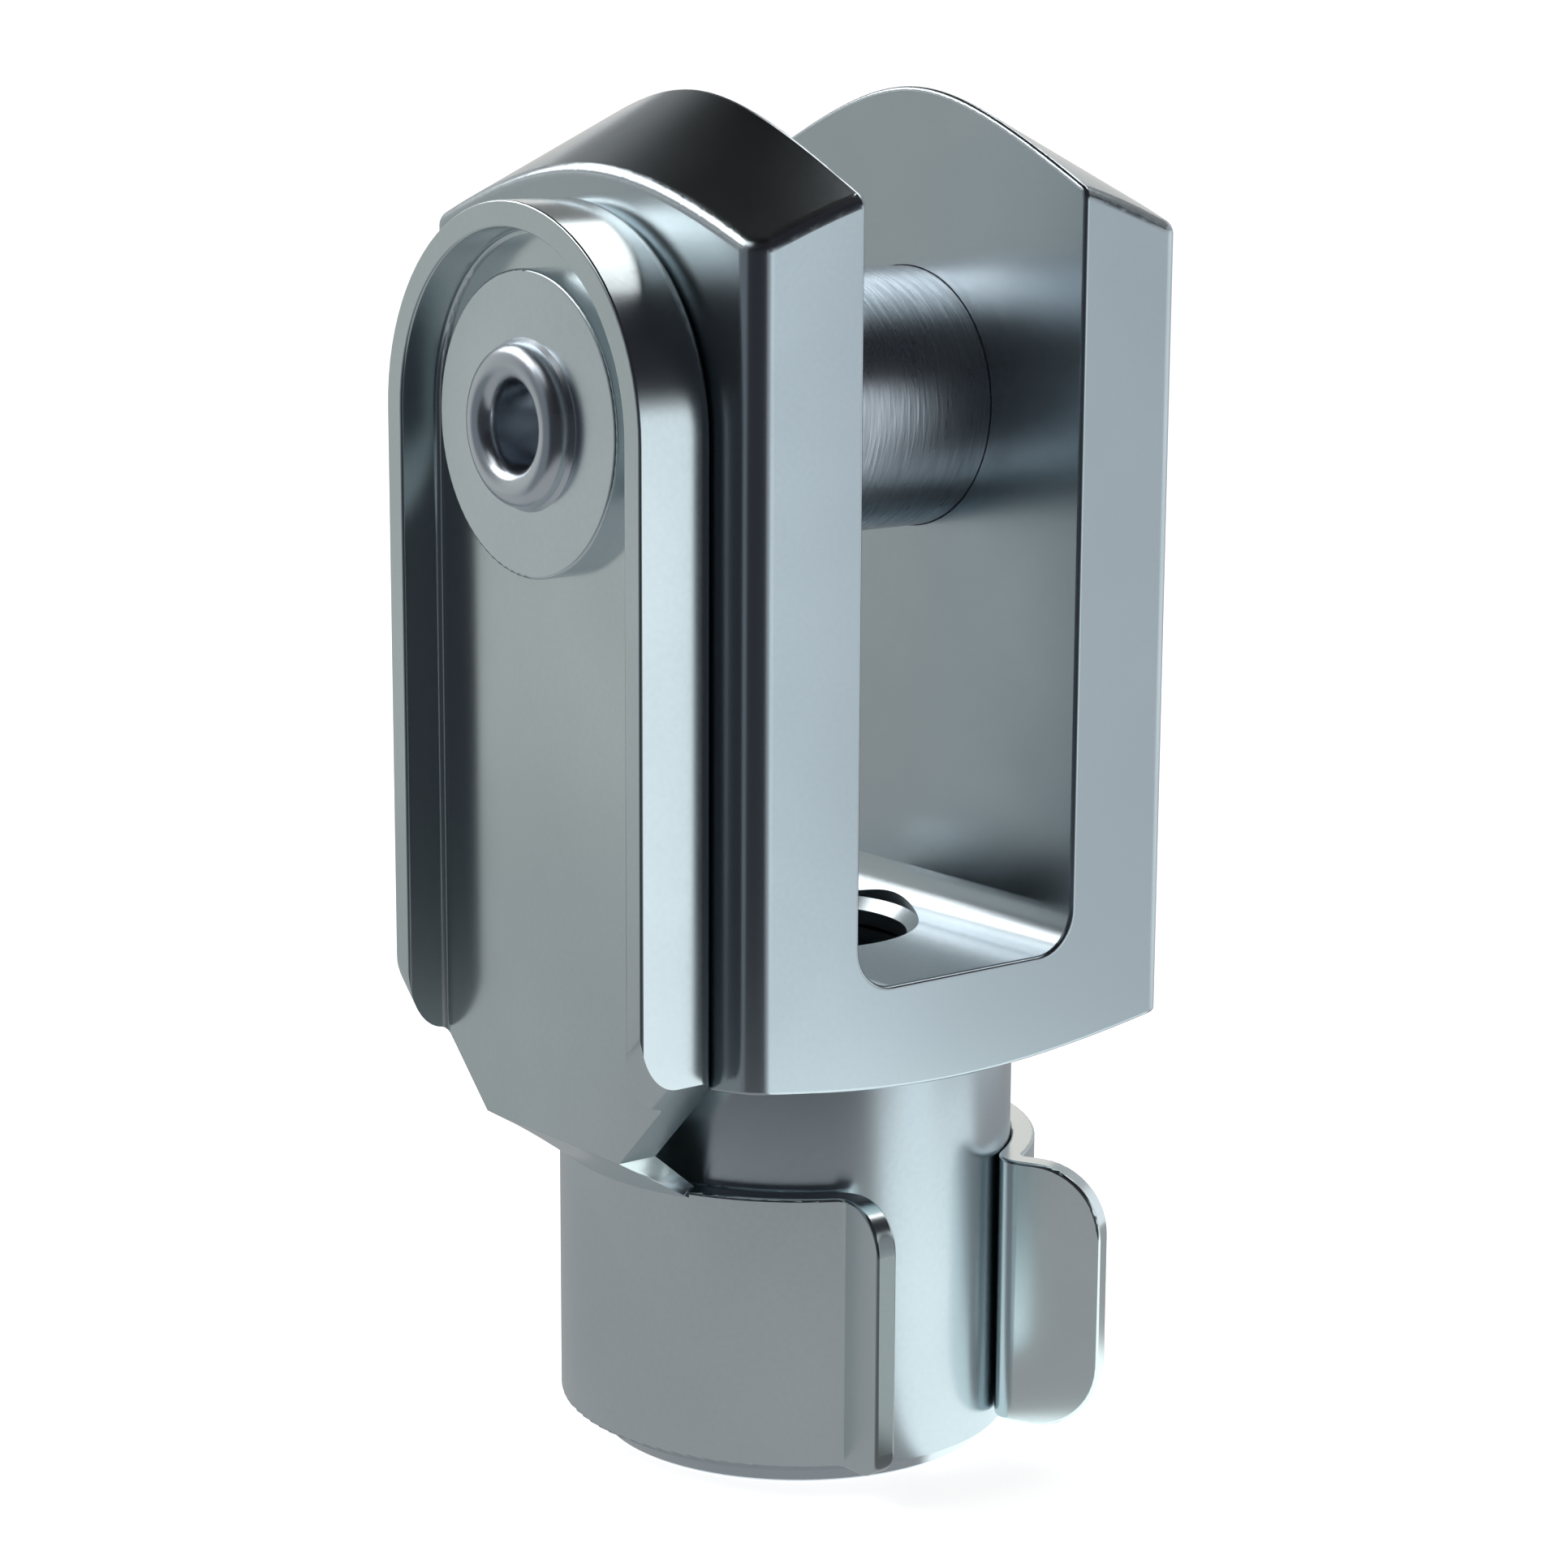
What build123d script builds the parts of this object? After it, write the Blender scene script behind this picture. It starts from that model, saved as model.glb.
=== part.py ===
from build123d import *
import os
from math import acos, asin, cos, degrees, radians, sin, tan

os.makedirs("parts", exist_ok=True)

# Clevis rod end: a square fork head on a round threaded neck, and the spring clip pin that locks in it.
# Millimetres. The thread axis is Z and the neck's end face is z = 0. The pin lies along X.
# The clip's plate is on the -X side, and its clamp opens towards -Y.

# Fork head
fork_width = 24.0           # across the flats, both ways
slot_width = 12.3
slot_floor = 24.0           # neck end to the bottom of the slot
slot_corner = 1.9           # inside radius at the bottom of the slot
pin_height = 48.0           # neck end to the pin's axis
crown_rise = 14.2           # pin's axis to where the crown meets the slot, before that edge is rounded
crown_angle = 30.0          # cone that the ears' tops are turned to, down from level
shoulder_angle = 13.0       # cone under the fork, up from level
bar_corner = 1.05           # rounding of the four long edges
crown_round = 0.7           # rounding between the crown and the flats
slot_round = 0.2            # rounding of the slot's edges
shoulder_round = 0.15
neck_diameter = 20.0
neck_length = 18.8          # neck end to the start of the shoulder
neck_chamfer = 0.85
thread_diameter = 12.0      # outer diameter of the M12 thread
thread_mouth = 0.6          # how far the countersink for the rod stands out round the thread
mouth_angle = 60.0          # that countersink's slope from the thread's axis
thread_end = 22.8           # neck end to where the rod's thread stops
thread_core = 10.1          # inner diameter of the M12 thread, at which the hole opens into the slot
core_mouth = 0.55           # how far that opening's countersink stands out round it
core_mouth_depth = 0.5

# Pin, with a hollow end that is rolled over the washer
pin_diameter = 11.95
pin_gap = 0.045             # between the pin and its bores, all round
bore_chamfer = 0.3
pin_overhang = 1.2          # how far the free end stands past the fork
pin_chamfer = 1.0
spigot_diameter = 6.0
rivet_hole = 3.8            # diameter
rivet_depth = 4.0           # from the rolled lip's crest
drill_angle = 31.0          # cone at the hole's end, from square
lip_radius = 0.85           # the rolled lip's own rounding
lip_height = 1.03           # the rolled lip's crest above the washer
lip_foot = 7.5              # diameter where the rolled lip meets the washer

# Washer under the rolled end
washer_diameter = 13.3
washer_thickness = 1.1
washer_round = 0.15

# Spring clip, folded from one sheet: a flanged plate, a strap that steps in, and a clamp round the neck
clip_gap = 0.05             # from the plate to the fork and from the clamp to the neck
rivet_gap = 0.05            # round the spigot
plate_thickness = 1.95
plate_width = 19.15
flange_thickness = 1.15
flange_height = 2.0         # rim above the plate's outer face
flange_foot = 20.5          # neck end to the lower ends of the flange's outside
foot_corner = 1.9           # rounding of the flange's lower free corners
floor_fillet = 0.3          # inside, between the plate and its flange
bend_round = 0.75           # outside, where the sheet turns into the flange
rim_round = 0.12
strap_width = 10.3          # where the plate ends
strap_foot = 9.8            # where the strap meets the clamp
strap_overlap = 0.3         # how far the strap runs down into the clamp
clamp_thickness = 1.1
clamp_top = 14.0            # neck end to the clamp's upper edge
clamp_bottom = 1.45
tongue_offset = 5.25        # thread axis to the front tongue's outer face
tongue_bend = 0.5           # inside radius where the tongue turns out
tongue_reach = 12.35        # thread axis to the tongue's end
tongue_upper_corner = 2.15
tongue_lower_corner = 1.2
ear_angle = 60.0            # from +X round to where the thumb ear leaves the neck
ear_bend = 0.25             # inside radius where the ear turns out
ear_flare = 27.5            # the ear's slant from -Y
ear_length = 4.05
ear_corner = 3.2
clamp_round = 0.15          # rounding of the clamp's cut edges

spare = 5.0                 # how far cutting tools run past what they cut
tiny = 0.001

# Places that more than one piece uses
fork_face = fork_width / 2
crown_height = pin_height + crown_rise
plate_inner = fork_face + clip_gap
plate_outer = plate_inner + plate_thickness
rim_face = plate_outer + flange_height
washer_face = plate_outer + washer_thickness
strap_top = flange_foot - (plate_width - strap_width) / 2
clamp_inner = neck_diameter / 2 + clip_gap
clamp_outer = clamp_inner + clamp_thickness


# Fork head

def square_bar():
    bar = Box(fork_width, fork_width, crown_height + 2 * spare)
    bar = fillet(bar.edges().filter_by(Axis.Z), bar_corner)
    return Pos(0, 0, crown_height / 2) * bar


def turned_form():
    # the neck, the shoulder and the crown, as one outline turned about Z
    neck, reach, ear = neck_diameter / 2, fork_width, slot_width / 2
    fall, rise = tan(radians(crown_angle)), tan(radians(shoulder_angle))
    outline = Polyline(
        (0, 0, 0),
        (0, neck - neck_chamfer, 0),
        (0, neck, neck_chamfer),
        (0, neck, neck_length),
        (0, reach, neck_length + rise * (reach - neck)),
        (0, reach, crown_height - fall * (reach - ear)),
        (0, 0, crown_height + fall * ear),
        close=True,
    )
    return revolve(make_face(outline), Axis.Z)


def slot_cutter():
    depth = crown_height + spare - slot_floor
    section = Plane.XZ * Pos(0, slot_floor + depth / 2) * Rectangle(slot_width, depth)
    section = fillet(section.vertices().sort_by(Axis.Z)[:2], slot_corner)
    return extrude(section, fork_face + spare, both=True)


def bore_cutter():
    radius = pin_diameter / 2 + pin_gap
    bore = Plane.YZ * Cylinder(radius, fork_width + 2 * spare)
    flare = Cone(radius, radius + bore_chamfer, bore_chamfer)
    mouth = Plane.YZ * Pos(0, 0, fork_face - bore_chamfer / 2) * flare
    return Pos(0, 0, pin_height) * (bore + mouth + mirror(mouth, Plane.YZ))


def thread_cutter():
    # the rod's hole and its narrower opening into the slot, as one outline turned about Z
    radius, core = thread_diameter / 2, thread_core / 2
    outline = Polyline(
        (0, 0, 0),
        (0, radius + thread_mouth, 0),
        (0, radius, thread_mouth / tan(radians(mouth_angle))),
        (0, radius, thread_end),
        (0, core, thread_end),
        (0, core, slot_floor - core_mouth_depth),
        (0, core + core_mouth, slot_floor),
        (0, core + core_mouth, slot_floor + spare),
        (0, 0, slot_floor + spare),
        close=True,
    )
    return revolve(make_face(outline), Axis.Z)


def on_crown(edge):
    return edge.geom_type not in (GeomType.LINE, GeomType.CIRCLE) and edge.center().Z > pin_height


def on_shoulder(edge):
    return edge.geom_type not in (GeomType.LINE, GeomType.CIRCLE) and edge.center().Z < slot_floor


def on_slot(edge):
    # the slot's outline on the flats and the crown, without the lines that run through the slot
    box = edge.bounding_box()
    within = max(-box.min.X, box.max.X) < slot_width / 2 + tiny
    lengthwise = box.size.X < tiny and box.size.Z < tiny
    return within and box.min.Z > slot_floor - tiny and not lengthwise


def make_fork_head():
    head = square_bar() & turned_form()
    head = fillet(head.edges().filter_by(on_crown), crown_round)
    head = fillet(head.edges().filter_by(on_shoulder), shoulder_round)
    head = head - slot_cutter()
    head = fillet(head.edges().filter_by(on_slot), slot_round)
    return head - bore_cutter() - thread_cutter()


# Pin and washer

def make_clevis_pin():
    # one outline turned about the pin's axis, from the drilled hole round the rolled lip to the free end
    hole, spigot, pin = rivet_hole / 2, spigot_diameter / 2, pin_diameter / 2
    crest, end = washer_face + lip_height, fork_face + pin_overhang
    lip_middle = crest - lip_radius
    drilled = crest - rivet_depth
    edges = [
        Line((-drilled + hole * tan(radians(drill_angle)), 0), (-drilled, hole)),
        Line((-drilled, hole), (-lip_middle, hole)),
        ThreePointArc(
            (-lip_middle, hole), (-crest, hole + lip_radius), (-lip_middle, hole + 2 * lip_radius)
        ),
        Polyline(
            (-lip_middle, hole + 2 * lip_radius),
            (-washer_face, lip_foot / 2),
            (-washer_face, spigot),
            (-plate_inner, spigot),
            (-plate_inner, pin),
            (end - pin_chamfer, pin),
            (end, pin - pin_chamfer),
            (end, 0),
            (-drilled + hole * tan(radians(drill_angle)), 0),
        ),
    ]
    turned = revolve(Plane.XZ * make_face(edges), Axis.X)
    return Pos(0, 0, pin_height) * turned


def make_rivet_washer():
    disc = Cylinder(washer_diameter / 2, washer_thickness)
    disc = fillet(disc.edges().group_by(Axis.Z)[0], washer_round)
    disc = disc - Cylinder(spigot_diameter / 2 + rivet_gap, 2 * washer_thickness)
    middle = plate_outer + washer_thickness / 2
    return Pos(-middle, 0, pin_height) * (Plane.YZ * disc)


# Spring clip

def across_pin(distance):
    # a drawing plane on the clip's side, with Y to the right, Z up and its normal towards the fork
    return Plane(origin=(-distance, 0, 0), x_dir=(0, 1, 0), z_dir=(1, 0, 0))


def arched_outline(half_width, *lower):
    # an arch about the pin over straight sides, closed along the lower points from +Y to -Y
    return [
        CenterArc((0, pin_height), half_width, 0, 180),
        Polyline((half_width, pin_height), *lower, (-half_width, pin_height)),
    ]


def lies_at(edge, distance):
    box = edge.bounding_box()
    return abs(box.min.X + distance) < tiny and abs(box.max.X + distance) < tiny


def on_bend(edge):
    # where the plate's inner face turns into the flange: the arch and the sides down to the flange's foot
    box = edge.bounding_box()
    return lies_at(edge, plate_inner) and box.min.Z > flange_foot - tiny


def on_rim(edge):
    # both long edges of the flange's rim, without its two cut ends
    return lies_at(edge, rim_face) and edge.bounding_box().size.Z > flange_height


def flanged_plate():
    half, strap = plate_width / 2, strap_width / 2
    lower = [(half, flange_foot), (strap, strap_top), (-strap, strap_top), (-half, flange_foot)]
    outline = across_pin(plate_inner) * make_face(arched_outline(half, *lower))
    plate = extrude(outline, plate_inner - rim_face)
    plate = fillet(plate.edges().filter_by(on_bend), bend_round)
    plate = plate - plate_hollow()
    plate = fillet(plate.edges().filter_by(on_rim), rim_round)
    return plate - foot_cutter() - spigot_hole()


def plate_hollow():
    # the space inside the flange, with its floor rounded up into the walls and open below
    half = plate_width / 2 - flange_thickness
    lower = [(half, strap_top - spare), (-half, strap_top - spare)]
    outline = across_pin(plate_outer) * make_face(arched_outline(half, *lower))
    hollow = extrude(outline, -flange_height - spare)
    floor = hollow.edges().filter_by(lambda edge: lies_at(edge, plate_outer))
    return fillet(floor.filter_by(Axis.Y, reverse=True), floor_fillet)


def spigot_hole():
    hole = Cylinder(spigot_diameter / 2 + rivet_gap, 2 * rim_face)
    return Pos(-rim_face, 0, pin_height) * (Plane.YZ * hole)


def foot_cutter():
    # rounds the flange's two free corners, square to the plate's slanted lower edges
    reach = foot_corner + spare
    foot = Plane((-rim_face, plate_width / 2, flange_foot), x_dir=(1, 0, 0), z_dir=(0, 1, 1))
    beyond = Pos((foot_corner - spare) / 2, (spare - foot_corner) / 2) * Rectangle(reach, reach)
    section = beyond - Pos(foot_corner, -foot_corner) * Circle(foot_corner)
    tool = extrude(foot * section, plate_width, both=True)
    return tool + mirror(tool, Plane.XZ)


def strap():
    # steps from the flat plate in to the clamp's curve
    top, foot = strap_width / 2, asin(strap_foot / 2 / clamp_outer)
    corners = [(-plate_outer, -top), (-plate_outer, top), (-plate_inner, top), (-plate_inner, -top)]
    upper = Pos(0, 0, strap_top) * make_face(Polyline(*corners, close=True))
    ends = [
        [(-radius * cos(foot), side * radius * sin(foot)) for side in (-1, 1)]
        for radius in (clamp_outer, clamp_inner)
    ]
    edges = [
        ThreePointArc(ends[0][0], (-clamp_outer, 0), ends[0][1]),
        Line(ends[0][1], ends[1][1]),
        ThreePointArc(ends[1][1], (-clamp_inner, 0), ends[1][0]),
        Line(ends[1][0], ends[0][0]),
    ]
    lower = Pos(0, 0, clamp_top - strap_overlap) * make_face(edges)
    return loft([upper, lower], ruled=True)


def polar(radius, angle, middle=(0, 0)):
    return (middle[0] + radius * cos(radians(angle)), middle[1] + radius * sin(radians(angle)))


def clamp():
    # the band round the neck, from the front tongue by -X, +Y and +X to the thumb ear
    bend = clamp_outer + tongue_bend
    tongue_angle = degrees(acos((tongue_offset + tongue_bend) / bend))
    tongue_middle = polar(bend, 180 + tongue_angle)
    ear_middle = polar(clamp_outer + ear_bend, -ear_angle)
    sweep = 180 + tongue_angle + ear_angle
    slant = 180 + ear_flare
    along = (sin(radians(ear_flare)), -cos(radians(ear_flare)))

    def side(radius, tongue_radius, ear_radius):
        ear_start = polar(ear_radius, slant, ear_middle)
        ear_end = (ear_start[0] + ear_length * along[0], ear_start[1] + ear_length * along[1])
        tongue_face = tongue_middle[0] + tongue_radius
        curves = [
            Line((tongue_face, -tongue_reach), (tongue_face, tongue_middle[1])),
            CenterArc(tongue_middle, tongue_radius, 0, tongue_angle),
            CenterArc((0, 0), radius, -ear_angle, sweep),
            CenterArc(ear_middle, ear_radius, 180 - ear_angle, slant - 180 + ear_angle),
            Line(ear_start, ear_end),
        ]
        return curves, (tongue_face, -tongue_reach), ear_end

    inner, inner_tongue, inner_ear = side(
        clamp_inner, tongue_bend + clamp_thickness, ear_bend + clamp_thickness
    )
    outer, outer_tongue, outer_ear = side(clamp_outer, tongue_bend, ear_bend)
    ends = [Line(inner_tongue, outer_tongue), Line(inner_ear, outer_ear)]
    band = extrude(make_face(inner + outer + ends), clamp_top - clamp_bottom)
    return round_sheet(Pos(0, 0, clamp_bottom) * band)


def at_corner(edge, side, upper):
    # a corner line across the sheet: on the ear where side is 1, on the tongue where it is -1
    middle = edge.center()
    high = middle.Z > (clamp_top + clamp_bottom) / 2
    return crosses_sheet(edge) and side * middle.X > 0 and high == upper


def crosses_sheet(edge):
    return edge.geom_type == GeomType.LINE and abs(edge.length - clamp_thickness) < tiny


def along_bend(edge):
    box = edge.bounding_box()
    return max(box.size.X, box.size.Y) < tiny and box.size.Z > clamp_top - clamp_bottom - tiny


def round_sheet(band):
    corners = [
        (-1, True, tongue_upper_corner),
        (-1, False, tongue_lower_corner),
        (1, True, ear_corner),
        (1, False, ear_corner),
    ]
    for side, upper, radius in corners:
        band = fillet(band.edges().filter_by(lambda edge: at_corner(edge, side, upper)), radius)
    cut_edges = band.edges().filter_by(crosses_sheet, reverse=True).filter_by(along_bend, reverse=True)
    return fillet(cut_edges, clamp_round)


def make_spring_clip():
    return flanged_plate() + strap() + clamp()


nodes = {
    "fork_head": make_fork_head,
    "clevis_pin": make_clevis_pin,
    "rivet_washer": make_rivet_washer,
    "spring_clip": make_spring_clip,
}

for name, make in nodes.items():
    solid = make()
    export_step(solid, f"parts/{name}.step")
    print(name, round(solid.volume, 1), len(solid.solids()), solid.is_valid)
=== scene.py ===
from math import cos, pi, radians, sin, tan

import bpy
import numpy as np
from mathutils import Matrix, Vector


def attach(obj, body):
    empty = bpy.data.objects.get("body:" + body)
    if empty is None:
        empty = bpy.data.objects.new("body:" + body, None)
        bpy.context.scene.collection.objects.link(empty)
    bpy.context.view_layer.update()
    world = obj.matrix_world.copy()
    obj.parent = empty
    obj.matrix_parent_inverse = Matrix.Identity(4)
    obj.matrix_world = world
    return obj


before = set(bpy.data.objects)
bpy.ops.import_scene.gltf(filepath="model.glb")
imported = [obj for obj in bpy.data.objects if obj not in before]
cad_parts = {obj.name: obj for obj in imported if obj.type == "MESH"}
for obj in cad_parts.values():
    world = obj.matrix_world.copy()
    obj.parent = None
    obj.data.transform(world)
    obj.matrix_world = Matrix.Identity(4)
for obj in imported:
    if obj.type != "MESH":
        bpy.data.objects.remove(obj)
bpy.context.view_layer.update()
mm = 0.001
print("frame loaded")


# Camera

camera = {
    "azimuth": -38.217,  # 0 looks along +Y
    "elevation": 11.699,
    "roll": 0.285,
    "distance": 175.49 * mm,
    "aimAcross": -0.70 * mm,  # from the thread's axis, to the right
    "aimHeight": 30.43 * mm,
    "lens": 87.30,  # its focal length, for the sensor's width below
    "sensor": 36.0,
    "nearest": 10.0 * mm,
}


def setCamera(values):
    turn, rise, roll = (radians(values[key]) for key in ("azimuth", "elevation", "roll"))
    across = Vector((cos(turn), sin(turn), 0))
    back = Vector((sin(turn) * cos(rise), -cos(turn) * cos(rise), sin(rise)))
    up = back.cross(across)
    aim = across * values["aimAcross"] + Vector((0, 0, values["aimHeight"]))
    axes = Matrix((across * cos(roll) + up * sin(roll), up * cos(roll) - across * sin(roll), back))
    lens = bpy.data.cameras.new("camera")
    lens.lens = values["lens"]
    lens.sensor_width = values["sensor"]
    lens.clip_start = values["nearest"]
    view = bpy.data.objects.new("camera", lens)
    view.matrix_world = Matrix.Translation(aim + back * values["distance"]) @ axes.transposed().to_4x4()
    bpy.context.scene.collection.objects.link(view)
    bpy.context.scene.camera = view


setCamera(camera)
bpy.context.scene.view_settings.view_transform = "Standard"
print("camera set")


# Meshes worked out with numpy

sharpAngle = 30  # degrees; edges that turn by more than this stay crisp


def gridFaces(rows, columns):
    # four-cornered faces between neighbouring rows and columns; the last column joins the first
    row, column = np.meshgrid(np.arange(rows - 1), np.arange(columns), indexing="ij")
    after = (column + 1) % columns
    corners = [row * columns + column, row * columns + after]
    corners += [(row + 1) * columns + after, (row + 1) * columns + column]
    return np.stack(corners, axis=-1).reshape(-1, 4).tolist()


def lastRowFace(rows, columns):
    return [(rows - 1) * columns + column for column in range(columns)]


def turnedPoints(radius, angle, height):
    return np.stack([radius * np.cos(angle), radius * np.sin(angle), height], axis=-1)


def meshObject(name, points, faces):
    mesh = bpy.data.meshes.new(name)
    mesh.from_pydata(points.reshape(-1, 3).tolist(), [], faces)
    mesh.polygons.foreach_set("use_smooth", np.ones(len(mesh.polygons), bool))
    mesh.set_sharp_from_angle(angle=radians(sharpAngle))
    mesh.update()
    made = bpy.data.objects.new(name, mesh)
    bpy.context.scene.collection.objects.link(made)
    return made


# Material helpers

def nodeTree(owner):
    # the emptied node tree of a material or a world
    owner.use_nodes = True
    owner.node_tree.nodes.clear()
    return owner.node_tree


def addNode(tree, kind, inputs, **settings):
    # settings are the node's own properties; inputs are values, or sockets to link from
    node = tree.nodes.new(kind)
    for key, value in settings.items():
        setattr(node, key, value)
    for key, value in inputs.items():
        if isinstance(value, bpy.types.NodeSocket):
            tree.links.new(value, node.inputs[key])
        else:
            node.inputs[key].default_value = value
    return node


def addMath(tree, operation, first, second, **settings):
    node = addNode(tree, "ShaderNodeMath", {0: first, 1: second}, operation=operation, **settings)
    return node.outputs[0]


def addRamp(tree, value, start, end, low, high, **settings):
    # low up to the start and high from the end on, with a slope between them
    inputs = {"Value": value, "From Min": start, "From Max": end, "To Min": low, "To Max": high}
    return addNode(tree, "ShaderNodeMapRange", inputs, **settings).outputs[0]


def newGroup(name, inputs, outputs):
    # a node group with named sockets, each given as (name, kind)
    group = bpy.data.node_groups.new(name, "ShaderNodeTree")
    for label, kind in inputs:
        group.interface.new_socket(label, in_out="INPUT", socket_type="NodeSocket" + kind)
    for label, kind in outputs:
        group.interface.new_socket(label, in_out="OUTPUT", socket_type="NodeSocket" + kind)
    return group, group.nodes.new("NodeGroupInput").outputs, group.nodes.new("NodeGroupOutput").inputs


# Zinc plating

zinc = {
    "cloudDetail": 3.0,
    "cloudRoughness": 0.5,
    "cloudRange": (-0.5, 1.5),  # the noise is widened to this, so that the clouds reach both tones
    "grainDetail": 2.0,
    "grainMiddle": 0.5,  # the grain's mean, which leaves the tone as it is
}


def makeZincSkin(values):
    # plated zinc: slow clouds in tone and gloss over a fine crystal grain
    group, given, out = newGroup(
        "zincSkin",
        [
            ("Vector", "Vector"),
            ("Pale", "Color"),
            ("Deep", "Color"),
            ("Cloud Scale", "Float"),
            ("Grain Place", "Vector"),
            ("Speck", "Float"),
            ("Smoothest", "Float"),
            ("Roughest", "Float"),
        ],
        [("Color", "Color"), ("Roughness", "Float"), ("Height", "Float")],
    )
    cloud = addNode(
        group,
        "ShaderNodeTexNoise",
        {
            "Vector": given["Vector"],
            "Scale": given["Cloud Scale"],
            "Detail": values["cloudDetail"],
            "Roughness": values["cloudRoughness"],
        },
    )
    grain = addNode(
        group,
        "ShaderNodeTexNoise",
        {"Vector": given["Grain Place"], "Scale": 1.0, "Detail": values["grainDetail"]},
    )
    clouds = addRamp(group, cloud.outputs["Fac"], 0.0, 1.0, *values["cloudRange"])
    speck = addMath(group, "SUBTRACT", grain.outputs["Fac"], values["grainMiddle"])
    speck = addMath(group, "MULTIPLY", speck, given["Speck"])
    mixed = addMath(group, "ADD", clouds, speck, use_clamp=True)
    tone = addNode(
        group,
        "ShaderNodeMix",
        {"Factor": mixed, "A": given["Deep"], "B": given["Pale"]},
        data_type="RGBA",
    )
    gloss = addRamp(group, mixed, 0.0, 1.0, given["Roughest"], given["Smoothest"])
    group.links.new(tone.outputs["Result"], out["Color"])
    group.links.new(gloss, out["Roughness"])
    group.links.new(grain.outputs["Fac"], out["Height"])
    return group


zincSkin = makeZincSkin(zinc)


def fadingMarks(tree, place, values):
    # how much of the turning marks is left along X: all at marksFrom, and marksLeft at marksTo
    along = addNode(tree, "ShaderNodeSeparateXYZ", {"Vector": place}).outputs["X"]
    return addRamp(tree, along, values["marksTo"], values["marksFrom"], values["marksLeft"], 1.0)


def paintedTongueShade(tree, place, color, values):
    # painted shade: darkens the colour of what lies within the given reach of the upright line through the
    # given place
    flat = addNode(tree, "ShaderNodeMapping", {"Vector": place, "Scale": (1, 1, 0)}).outputs[0]
    away = addNode(tree, "ShaderNodeVectorMath", {0: flat, 1: values["shadePlace"]}, operation="DISTANCE")
    reach = values["shadeReach"]
    shade = addRamp(
        tree, away.outputs["Value"], reach, reach + values["shadeFade"], values["shadeTone"], 1.0
    )
    return addNode(tree, "ShaderNodeVectorMath", {0: color, "Scale": shade}, operation="SCALE").outputs[0]


def zincMaterial(name, values):
    material = bpy.data.materials.new(name)
    tree = nodeTree(material)
    place = addNode(tree, "ShaderNodeTexCoord", {}).outputs["Object"]
    grain = addNode(tree, "ShaderNodeMapping", {"Vector": place, "Scale": values["grain"]}).outputs[0]
    skin = addNode(
        tree,
        "ShaderNodeGroup",
        {
            "Vector": place,
            "Pale": values["pale"] + (1,),
            "Deep": values["deep"] + (1,),
            "Cloud Scale": values["cloudScale"],
            "Grain Place": grain,
            "Speck": values["speck"],
            "Smoothest": values["smoothest"],
            "Roughest": values["roughest"],
        },
        node_tree=zincSkin,
    )
    height, color = skin.outputs["Height"], skin.outputs["Color"]
    if "marksTo" in values:
        marks = fadingMarks(tree, place, values)
        tree.links.new(addMath(tree, "MULTIPLY", marks, values["speck"]), skin.inputs["Speck"])
        height = addMath(tree, "MULTIPLY", height, marks)
    # painted shade on the clip's tongue end, darkening its colour
    if "shadePlace" in values:
        color = paintedTongueShade(tree, place, color, values)
    bump = addNode(
        tree,
        "ShaderNodeBump",
        {"Height": height, "Distance": values["grainHeight"], "Strength": 1.0},
    )
    shader = addNode(
        tree,
        "ShaderNodeBsdfPrincipled",
        {
            "Base Color": color,
            "Roughness": skin.outputs["Roughness"],
            "Metallic": 1.0,
            "Normal": bump.outputs["Normal"],
        },
    )
    addNode(tree, "ShaderNodeOutputMaterial", {"Surface": shader.outputs[0]})
    return material


forkFinish = {
    "pale": (0.54, 0.60, 0.635),
    "deep": (0.49, 0.55, 0.585),
    "cloudScale": 90.0,  # per metre
    "grain": (4000, 4000, 4000),  # per metre, along X, Y and Z
    "grainHeight": 0.0006 * mm,
    "speck": 0.6,  # how far the grain shows in tone and gloss
    "smoothest": 0.21,
    "roughest": 0.27,
}
clipFinish = dict(
    forkFinish,
    pale=(0.70, 0.765, 0.78),
    deep=(0.64, 0.705, 0.72),
    smoothest=0.16,
    roughest=0.22,
    shadePlace=(-4.7 * mm, -13.0 * mm, 0),  # painted shade on the colour beyond the tongue's sheared end
    shadeReach=0.87 * mm,
    shadeFade=0.1 * mm,
    shadeTone=0.33,
)
washerFinish = dict(forkFinish, pale=(0.74, 0.81, 0.84), deep=(0.68, 0.75, 0.78))
pinFinish = dict(
    forkFinish,
    pale=(0.70, 0.75, 0.80),
    deep=(0.44, 0.48, 0.53),
    grain=(5200, 450, 450),
    grainHeight=0.011 * mm,
    speck=1.8,
    smoothest=0.24,
    roughest=0.36,
    marksFrom=-11.0 * mm,  # towards the rolled end the turning marks give way to smooth metal
    marksTo=-12.0 * mm,
    marksLeft=0.05,
)

for node, finish in (
    ("fork_head", forkFinish),
    ("clevis_pin", pinFinish),
    ("rivet_washer", washerFinish),
    ("spring_clip", clipFinish),
):
    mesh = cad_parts[node].data
    mesh.materials.clear()
    mesh.materials.append(zincMaterial(node + "Zinc", finish))
print("materials placed")


# Thread

thread = {
    "major": 6.0 * mm,
    "minor": 5.054 * mm,
    "pitch": 1.75 * mm,
    "baseWidth": 7 / 8,  # of the pitch, along the axis
    "crestWidth": 1 / 4,
    "sink": 0.03 * mm,  # how far the ridge reaches into the wall and into the step above it
    "low": 0.35 * mm,
    "high": 22.8 * mm,
    "lowSlope": 60.0,  # the countersink's slope from the axis
    "steps": 72,  # a turn
}


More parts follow.
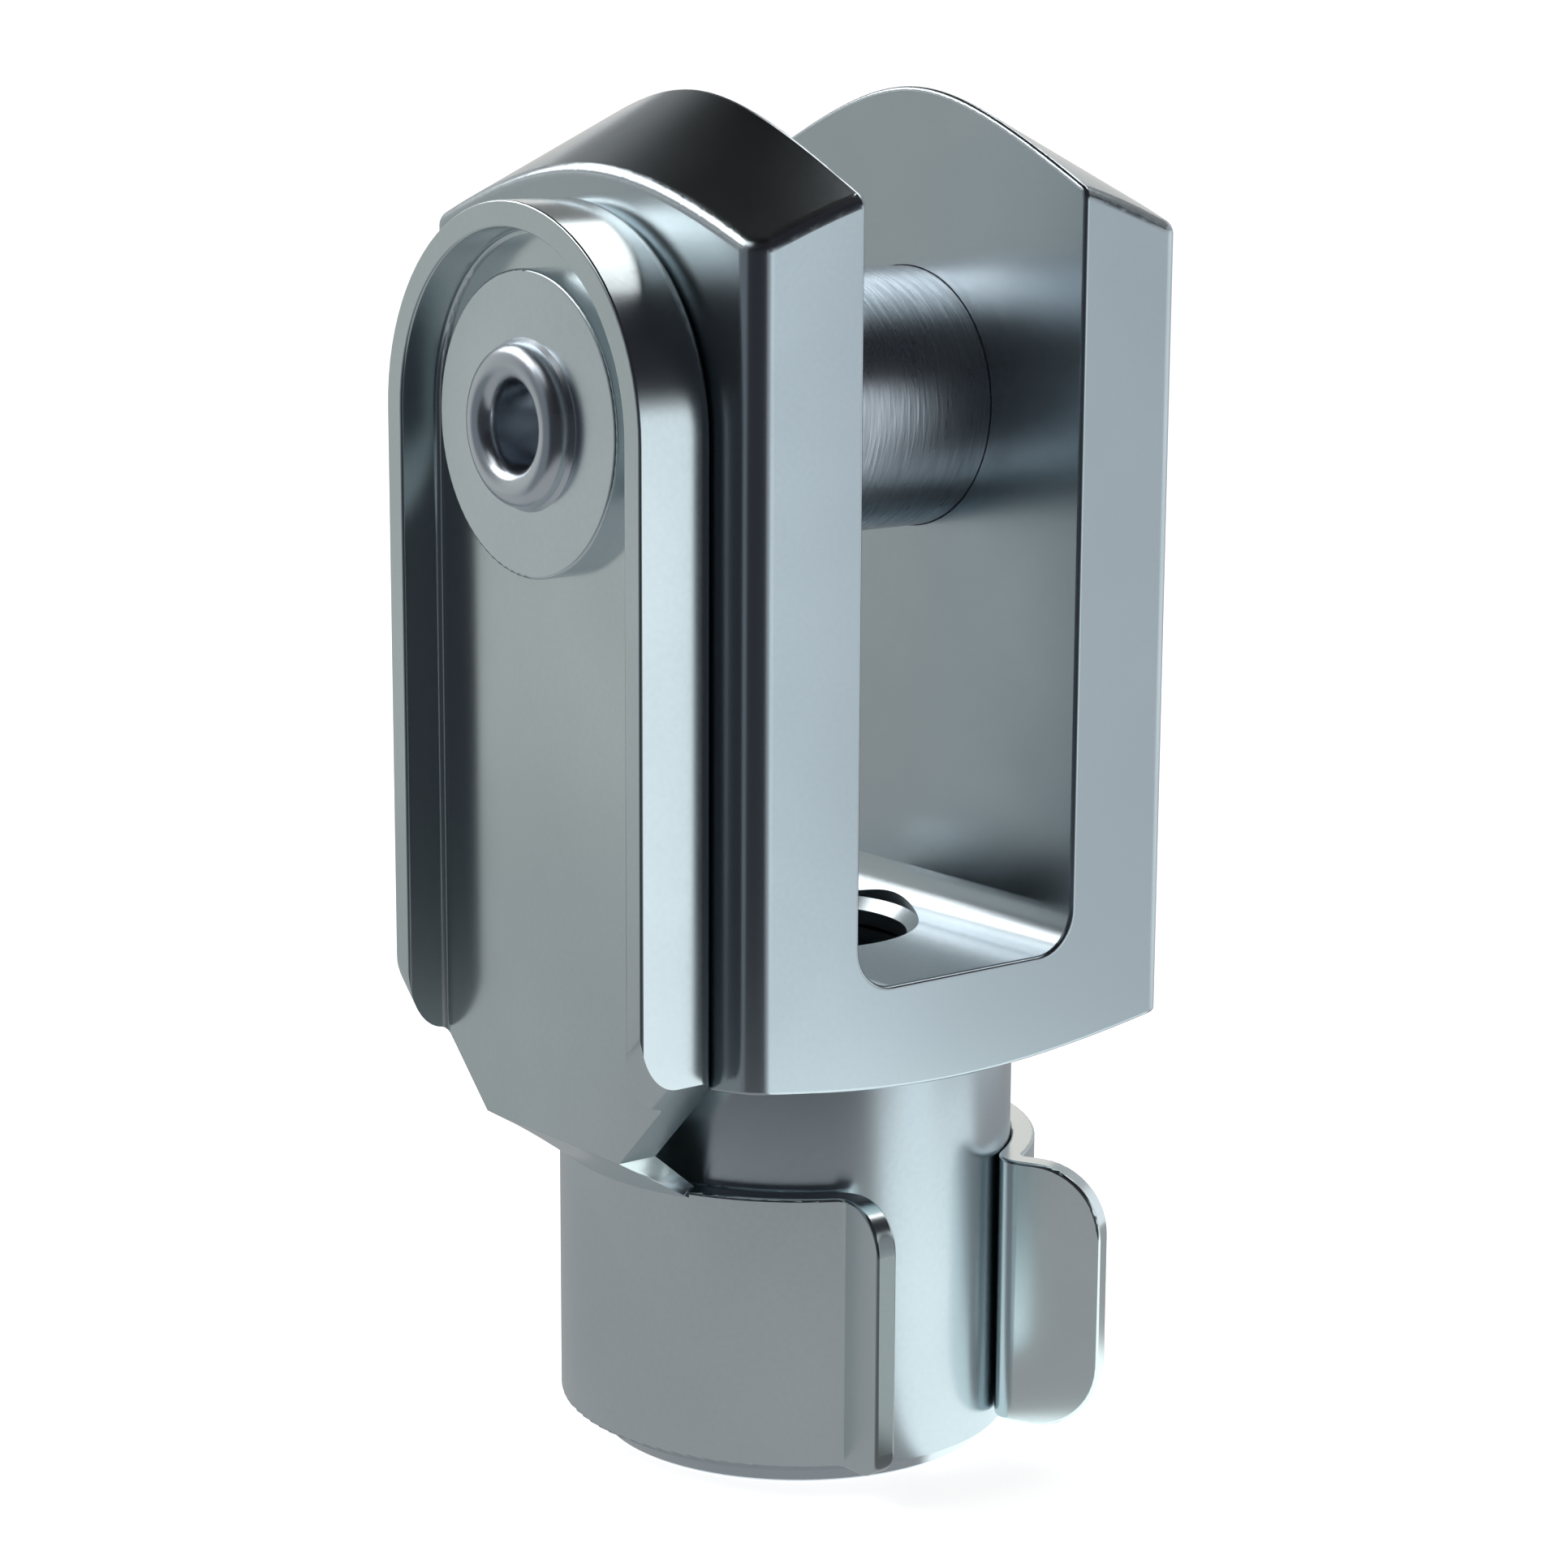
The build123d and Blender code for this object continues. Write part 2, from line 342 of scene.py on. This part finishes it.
def threadRidge(values):
    # the thread's ridge: a flat-topped section carried up a helix, opened out by a cone where the rod goes in
    major, minor, pitch, steps = (values[key] for key in ("major", "minor", "pitch", "steps"))
    low, high, sunk = values["low"], values["high"] + values["sink"], major + values["sink"]
    base, crest = pitch * values["baseWidth"] / 2, pitch * values["crestWidth"] / 2
    turns = (high - low + 2 * base) / pitch
    along = np.linspace(0, turns, int(steps * turns) + 1)[:, None]
    sectionRadius = np.array([sunk, major, minor, minor, major, sunk])
    sectionHeight = np.array([-base, -base, -crest, crest, base, base])
    height = low - base + pitch * along + sectionHeight
    cone = major - (height - low) * tan(radians(values["lowSlope"]))
    radius = np.minimum(np.maximum(sectionRadius, cone), sunk)
    around = np.broadcast_to(2 * pi * along, radius.shape)
    points = turnedPoints(radius, around, np.clip(height, low, high))
    firstRowFace = list(range(len(sectionRadius)))[::-1]
    faces = gridFaces(*radius.shape) + [firstRowFace, lastRowFace(*radius.shape)]
    return meshObject("thread_ridge", points, faces)


ridge = threadRidge(thread)
ridge.data.materials.append(zincMaterial("threadZinc", forkFinish))
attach(ridge, "fork")
print("thread made")


# Studio

studio = {
    "hubRadius": 0.001,  # the flat disc in the floor's middle
    "ringRadius": 0.1,  # a round of corners on the flat floor
    "floorRadius": 0.55,
    "bendRadius": 0.35,
    "bendSteps": 16,
    "wallHeight": 0.06,
    "turnSteps": 96,
    "floorTone": 0.80,
    "floorGlow": 0.84,  # what camera and reflections see on top of the lit floor
    "zenith": 0.005,  # the sky's strength overhead
    "horizon": 0.30,
    "skyFade": (0.45, 0.78),  # sines of the elevations between which the sky darkens
}

leftBox = {
    "azimuth": -105,
    "elevation": 43,
    "distance": 0.6,
    "size": (0.70, 0.25),
    "roll": 12,
    "radiance": 2.8,
}
rightBox = dict(leftBox, azimuth=142, elevation=49, size=(0.46, 0.22), roll=0, radiance=2.2)

# What the metal reflects round about: a mat under the object that bends up into a wall, in soft-edged
# panels. Azimuths count from the camera's side towards its right, elevations from the camera's aim.
surround = {
    "radius": 0.15,
    "inner": 0.0085,
    "lift": 0.0001,  # above the floor
    "mat": (0.37, 0.38, 0.39),
    "open": (100, 290),  # azimuths where the wall stays low, under the lamps
    "lowTop": 24,
    "highTop": 62,
    "softness": (6, 4),
    "turnSteps": 180,
    "riseSteps": 90,
}
panels = (
    # azimuths, elevations, colour
    ((180, 264), (-30, 90), (0.48, 0.50, 0.49)),
    ((180, 264), (-30, -11), (0.40, 0.42, 0.42)),
    ((276, 395), (-23, 90), (0.037, 0.040, 0.048)),
    ((270, 312), (-23, 40), (0.18, 0.20, 0.22)),
    ((322, 400), (20, 90), (0.02, 0.02, 0.025)),
    ((276, 322), (44, 90), (0.72, 0.76, 0.77)),
    ((276, 306), (44, 90), (1.45, 1.5, 1.5)),
    ((35, 100), (19, 90), (0.02, 0.02, 0.025)),
    ((40, 100), (-90, -24), (1.30, 1.42, 1.42)),
    ((50, 73), (-24, 15), (0.98, 1.07, 1.12)),
    ((73, 97), (-24, 20), (0.60, 0.64, 0.66)),
    ((97, 132), (-22, 16), (0.95, 1.0, 1.04)),
    ((132, 162), (-22, 24), (0.53, 0.55, 0.57)),
    ((162, 196), (-22, 24), (0.90, 0.86, 0.82)),
)


def paperMaterial(values):
    material = bpy.data.materials.new("studioPaper")
    tree = nodeTree(material)
    tone = values["floorTone"]
    paper = addNode(tree, "ShaderNodeBsdfDiffuse", {"Color": (tone, tone, tone, 1)})
    path = addNode(tree, "ShaderNodeLightPath", {}).outputs
    seen = addMath(tree, "ADD", path["Is Camera Ray"], path["Is Glossy Ray"])
    seen = addMath(tree, "ADD", seen, path["Is Transmission Ray"], use_clamp=True)
    strength = addMath(tree, "MULTIPLY", seen, values["floorGlow"])
    glow = addNode(tree, "ShaderNodeEmission", {"Strength": strength})
    both = addNode(tree, "ShaderNodeAddShader", {0: paper.outputs[0], 1: glow.outputs[0]})
    addNode(tree, "ShaderNodeOutputMaterial", {"Surface": both.outputs[0]})
    return material


def studioSweep(values):
    # a round floor that bends up into a wall: a profile turned about Z
    floorRadius, bendRadius = values["floorRadius"], values["bendRadius"]
    flat = np.array([[values["hubRadius"], 0], [values["ringRadius"], 0], [floorRadius, 0]])
    turn = np.linspace(0, pi / 2, values["bendSteps"] + 1)[1:, None]
    bend = np.hstack([np.sin(turn), 1 - np.cos(turn)]) * bendRadius
    wall = np.array([[floorRadius + bendRadius, values["wallHeight"]]])
    profile = np.vstack([flat, bend + [floorRadius, 0], wall])[::-1]
    around = np.linspace(0, 2 * pi, values["turnSteps"] + 1)[:-1]
    heights = np.broadcast_to(profile[:, 1:], (len(profile), len(around)))
    points = turnedPoints(profile[:, :1], around, heights)
    faces = gridFaces(*heights.shape) + [lastRowFace(*heights.shape)]
    sweep = meshObject("studio_floor", points, faces)
    sweep.data.materials.append(paperMaterial(values))


def softBand(values, low, high, softness):
    # 1 between low and high, with edges that fade over the softness
    rise = np.clip((values - low) / softness + 0.5, 0, 1)
    fall = np.clip((high - values) / softness + 0.5, 0, 1)
    return np.minimum(rise, fall) ** 2 * (3 - 2 * np.minimum(rise, fall))


def surroundAngles(values):
    # azimuths along a row, and each row's elevations, from the wall's top down to the mat's inner edge
    turn = np.linspace(0, 360, values["turnSteps"] + 1)[:-1]
    isOpen = (turn > values["open"][0]) & (turn < values["open"][1])
    top = np.where(isOpen, values["lowTop"], values["highTop"])
    bottom = np.degrees(np.arctan2(-camera["aimHeight"], values["inner"]))
    return turn, bottom + (top - bottom) * np.linspace(1, 0, values["riseSteps"] + 1)[:, None]


def surroundPoints(values, turn, rise):
    slope = np.tan(np.radians(rise))
    onFloor = slope < -camera["aimHeight"] / values["radius"]
    radius = np.where(onFloor, -camera["aimHeight"] / np.where(onFloor, slope, 1), values["radius"])
    height = np.where(onFloor, 0, camera["aimHeight"] + slope * values["radius"]) + values["lift"]
    angle = np.radians(turn + camera["azimuth"])
    return np.stack([radius * np.sin(angle), -radius * np.cos(angle), height], axis=-1)


def surroundColours(values, panels, turn, rise):
    # each point has the mat's colour, painted over by the panels in turn
    colours = np.ones(rise.shape + (4,))
    colours[..., :3] = values["mat"]
    for (left, right), (low, high), panelColour in panels:
        away = np.abs((turn - (left + right) / 2 + 180) % 360 - 180)
        mask = softBand(away, (left - right) / 2, (right - left) / 2, values["softness"][0])
        mask = mask * softBand(rise, low, high, values["softness"][1])
        colours[..., :3] += (panelColour - colours[..., :3]) * mask[..., None]
    return colours


def glowMaterial(name, attribute):
    material = bpy.data.materials.new(name)
    tree = nodeTree(material)
    kept = addNode(tree, "ShaderNodeAttribute", {}, attribute_name=attribute)
    glow = addNode(tree, "ShaderNodeEmission", {"Color": kept.outputs["Color"]})
    addNode(tree, "ShaderNodeOutputMaterial", {"Surface": glow.outputs[0]})
    return material


def reflectionSurround(values, panels):
    turn, rise = surroundAngles(values)
    wall = meshObject("studio_surround", surroundPoints(values, turn, rise), gridFaces(*rise.shape))
    colours = surroundColours(values, panels, turn, rise)
    wall.data.attributes.new("tone", "FLOAT_COLOR", "POINT").data.foreach_set("color", colours.ravel())
    wall.data.materials.append(glowMaterial("studioSurround", "tone"))
    wall.visible_camera = False
    wall.visible_diffuse = False
    wall.visible_shadow = False


def softbox(name, values):
    # a rectangular lamp that faces the object; azimuth counts from the camera's side towards its right
    turn, rise = radians(values["azimuth"] + camera["azimuth"]), radians(values["elevation"])
    away = Vector((sin(turn) * cos(rise), -cos(turn) * cos(rise), sin(rise)))
    lamp = bpy.data.lights.new(name, "AREA")
    lamp.shape = "RECTANGLE"
    lamp.size, lamp.size_y = values["size"]
    lamp.energy = values["radiance"] * pi * lamp.size * lamp.size_y
    made = bpy.data.objects.new(name, lamp)
    made.matrix_world = (
        Matrix.Translation(away * values["distance"] + Vector((0, 0, camera["aimHeight"])))
        @ away.to_track_quat("Z", "Y").to_matrix().to_4x4()
        @ Matrix.Rotation(radians(values["roll"]), 4, "Z")
    )
    made.visible_camera = False
    bpy.context.scene.collection.objects.link(made)


def studioSky(values):
    # white to the camera; to the object, light near the horizon and dark overhead
    world = bpy.data.worlds.new("studioSky")
    bpy.context.scene.world = world
    tree = nodeTree(world)
    toward = addNode(tree, "ShaderNodeTexCoord", {}).outputs["Generated"]
    height = addNode(tree, "ShaderNodeSeparateXYZ", {"Vector": toward}).outputs["Z"]
    fade = (*values["skyFade"], values["horizon"], values["zenith"])
    strength = addRamp(tree, height, *fade, interpolation_type="SMOOTHSTEP")
    seen = addNode(tree, "ShaderNodeLightPath", {}).outputs["Is Camera Ray"]
    sky = addNode(tree, "ShaderNodeBackground", {"Strength": addMath(tree, "MAXIMUM", strength, seen)})
    addNode(tree, "ShaderNodeOutputWorld", {"Surface": sky.outputs[0]})


studioSweep(studio)
reflectionSurround(surround, panels)
studioSky(studio)
softbox("leftBox", leftBox)
softbox("rightBox", rightBox)
print("studio lit")
